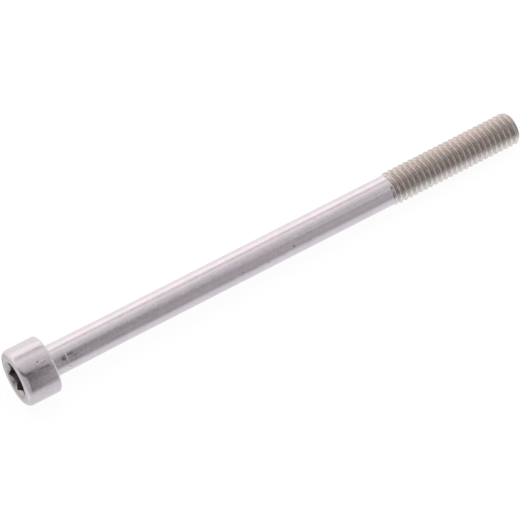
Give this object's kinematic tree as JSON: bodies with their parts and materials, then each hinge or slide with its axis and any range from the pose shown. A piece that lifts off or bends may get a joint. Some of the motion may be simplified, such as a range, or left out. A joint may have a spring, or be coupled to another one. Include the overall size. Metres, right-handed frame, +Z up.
{
  "type": "hex socket cap screw",
  "caption": "Cylindrical-head screw with a hexagon socket, a long plain shank narrower than its thread, and a threaded end, lying on its side.",
  "frame": {"origin": "on the ground, under the middle of the lying screw", "axes": "+X from the head to the threaded end, along the ground; +Z up. The screw's own axis leans down by 1.306 degrees towards its threaded end, because it rests on its head's rim and its thread"},
  "size_m": [0.0961, 0.0098, 0.01],
  "materials": {
    "steel": "satin"
  },
  "bodies": {
    "root": {"screw": "steel"}
  },
  "joints": []
}
